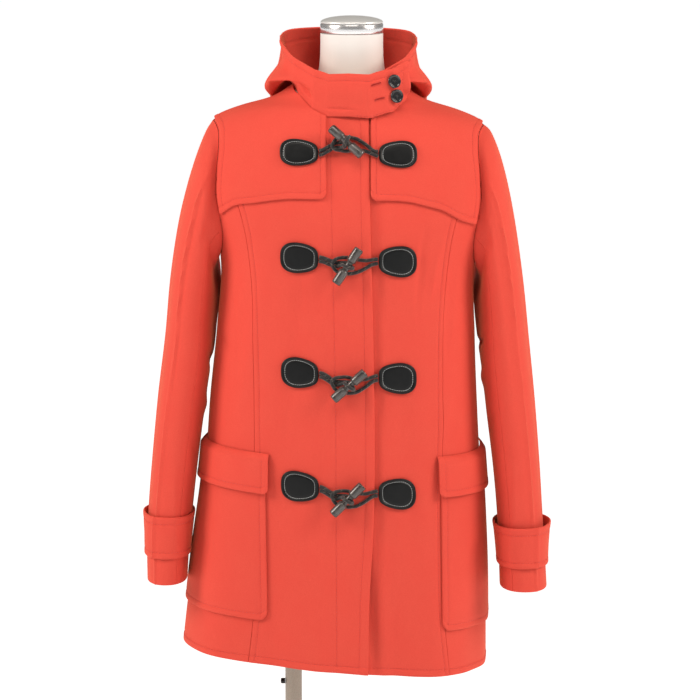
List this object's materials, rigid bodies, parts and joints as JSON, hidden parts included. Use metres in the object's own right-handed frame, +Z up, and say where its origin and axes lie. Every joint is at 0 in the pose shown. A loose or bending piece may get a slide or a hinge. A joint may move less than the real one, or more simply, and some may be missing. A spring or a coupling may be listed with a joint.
{
  "type": "duffle coat on dress form",
  "caption": "Red wool duffle coat with hood, yokes and patch pockets, closed with horn toggles, on a limbless dress form.",
  "frame": {"origin": "middle of the round base's underside, on the floor", "axes": "+Z up, -Y out of the coat's front, +X to the wearer's left"},
  "size_m": [0.5728, 0.42, 1.4434],
  "materials": {
    "wool": "matte felted",
    "leather": "semi-gloss",
    "horn": "polished",
    "braid": "braided",
    "shell": "gloss",
    "jersey": "smooth",
    "steel": "bright",
    "cap": "spun satin",
    "painted": "satin",
    "dark": "satin"
  },
  "bodies": {
    "root": {"back": "wool", "cuff_strap_left": "wool", "cuff_strap_right": "wool", "flap_left": "wool", "flap_right": "wool", "front_left": "wool", "front_right": "wool", "hood_left": "wool", "hood_right": "wool", "pocket_left": "wool", "pocket_right": "wool", "side_front_left": "wool", "side_front_right": "wool", "top_sleeve_left": "wool", "top_sleeve_right": "wool", "under_sleeve_left": "wool", "under_sleeve_right": "wool", "yoke_back": "wool", "yoke_front_left": "wool", "yoke_front_right": "wool", "patch_right_1": "leather", "patch_left_1": "leather", "toggle_1": "horn", "toggle_cord_1": "braid", "loop_cord_1": "braid", "patch_right_2": "leather", "patch_left_2": "leather", "toggle_2": "horn", "toggle_cord_2": "braid", "loop_cord_2": "braid", "patch_right_3": "leather", "patch_left_3": "leather", "toggle_3": "horn", "toggle_cord_3": "braid", "loop_cord_3": "braid", "patch_right_4": "leather", "patch_left_4": "leather", "toggle_4": "horn", "toggle_cord_4": "braid", "loop_cord_4": "braid", "button_upper": "shell", "button_lower": "shell", "form_torso": "jersey", "form_neck_band": "steel", "form_neck_cap": "cap", "stand_pole": "painted", "stand_collar": "painted", "stand_base": "painted", "stand_screw": "dark"}
  },
  "joints": []
}
